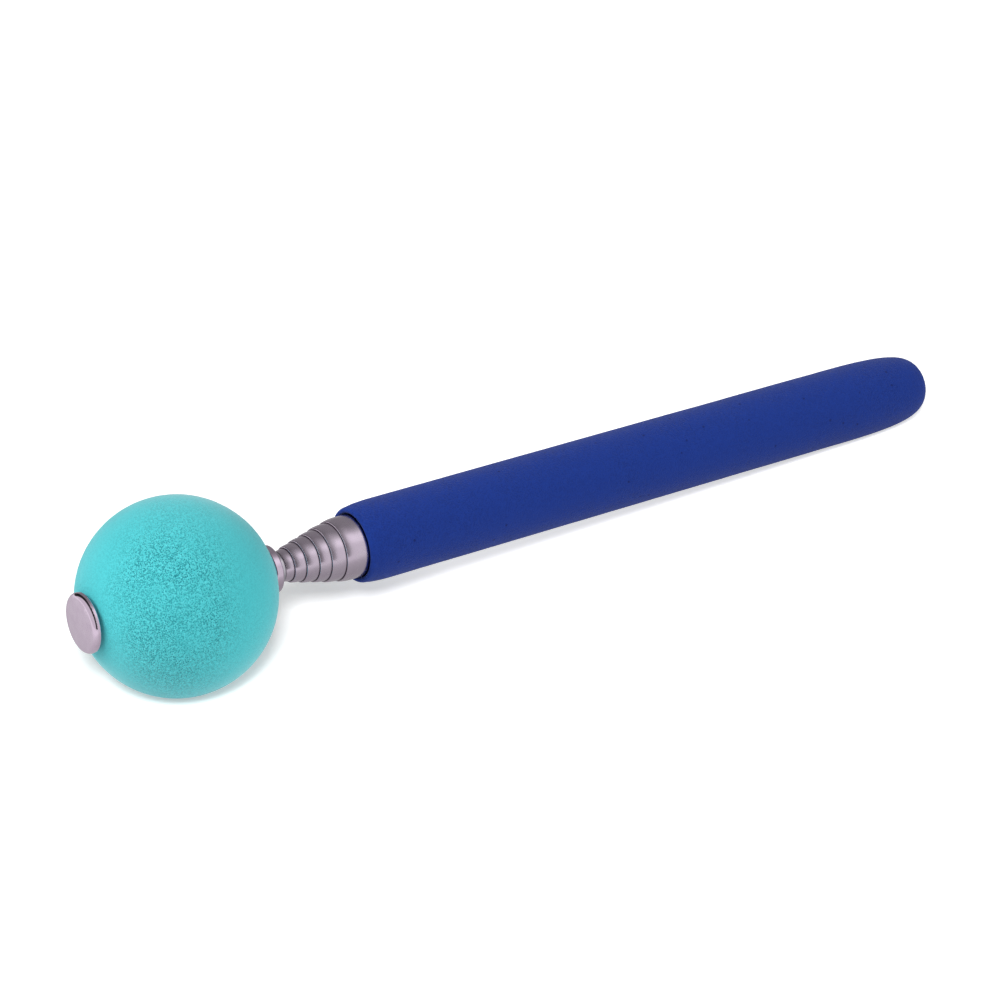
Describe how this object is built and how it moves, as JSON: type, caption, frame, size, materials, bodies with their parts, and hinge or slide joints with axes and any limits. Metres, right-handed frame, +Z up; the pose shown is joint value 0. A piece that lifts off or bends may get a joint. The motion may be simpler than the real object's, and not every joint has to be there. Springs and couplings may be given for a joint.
{
  "type": "telescopic tapping massage stick",
  "caption": "Foam ball for tapping the body, on nested sliding steel tubes that pull out of a foam-covered handle. It lies on its ball and the handle's closed end.",
  "frame": {"origin": "on the table, under the middle of the closed stick's bounding box as it lies on its ball and on the grip's closed end", "axes": "+X from the ball towards the grip's closed end, along the table, +Z up. The stick's own axis drops by 3.9 degrees from +X, because the ball is thicker than the grip"},
  "size_m": [0.266, 0.05, 0.05],
  "materials": {
    "teal_foam": "matte",
    "blue_foam": "matte",
    "chrome": "polished",
    "tube_steel": "polished",
    "steel": "satin",
    "brass": "satin",
    "core_plastic": "matte"
  },
  "bodies": {
    "handle": {"handle_tube": "tube_steel", "handle_core": "core_plastic", "foam_grip": "blue_foam"},
    "stage_5": {"tube_5": "tube_steel", "friction_spring_5": "brass"},
    "stage_4": {"tube_4": "tube_steel", "friction_spring_4": "brass"},
    "stage_3": {"tube_3": "tube_steel", "friction_spring_3": "brass"},
    "stage_2": {"tube_2": "tube_steel", "friction_spring_2": "brass"},
    "stage_1": {"tube_1": "tube_steel", "friction_spring_1": "brass"},
    "tip_spring": {"tip_friction_spring": "brass"},
    "head": {"tip_rod": "steel", "tip_collar": "steel", "rear_washer": "chrome", "ball_spacer": "steel", "foam_ball": "teal_foam", "front_cap": "chrome"}
  },
  "joints": [
    {"name": "stage_5_slide", "type": "slide", "parent": "handle", "child": "stage_5", "axis": [-0.9978, 0, 0.0667], "range_m": [0, 0.061]},
    {"name": "stage_4_slide", "type": "slide", "parent": "stage_5", "child": "stage_4", "axis": [-0.9978, 0, 0.0667], "range_m": [0, 0.065]},
    {"name": "stage_3_slide", "type": "slide", "parent": "stage_4", "child": "stage_3", "axis": [-0.9978, 0, 0.0667], "range_m": [0, 0.068]},
    {"name": "stage_2_slide", "type": "slide", "parent": "stage_3", "child": "stage_2", "axis": [-0.9978, 0, 0.0667], "range_m": [0, 0.0715]},
    {"name": "stage_1_slide", "type": "slide", "parent": "stage_2", "child": "stage_1", "axis": [-0.9978, 0, 0.0667], "range_m": [0, 0.0745]},
    {"name": "tip_rod_slide", "type": "slide", "parent": "stage_1", "child": "tip_spring", "axis": [-0.9978, 0, 0.0667], "range_m": [0, 0.0765]},
    {"name": "head_spin", "type": "hinge", "parent": "tip_spring", "child": "head", "pos_m": [-0.10569, 0, 0.025], "axis": [-0.9978, 0, 0.0667], "continuous": true}
  ]
}
